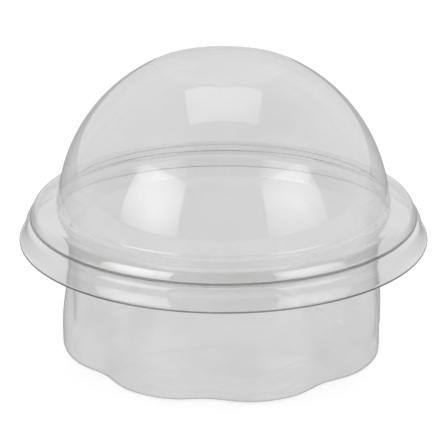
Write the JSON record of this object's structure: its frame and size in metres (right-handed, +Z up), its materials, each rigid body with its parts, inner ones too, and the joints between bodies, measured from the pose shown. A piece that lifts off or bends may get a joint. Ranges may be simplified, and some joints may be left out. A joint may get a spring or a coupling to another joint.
{
  "type": "plastic cup with lid",
  "caption": "Clear thermoformed dessert cup with a lobed body, and a lift-off dome lid with a flat disc on top and a flared lip.",
  "frame": {"origin": "centre of the cup's foot, on the plane it stands on", "axes": "+Z up through the middle of the cup and the lid, -Y towards the viewer of the picture, +X to the viewer's right"},
  "size_m": [0.1, 0.1, 0.0709],
  "materials": {
    "cup_sheet": "clear, glossy",
    "lid_sheet": "clear, glossy"
  },
  "bodies": {
    "cup": {"cup": "cup_sheet"},
    "lid": {"lid": "lid_sheet"}
  },
  "joints": [
    {"name": "lid_lift", "type": "slide", "parent": "cup", "child": "lid", "axis": [0, 0, 1], "range_m": [0, 0.04]}
  ]
}
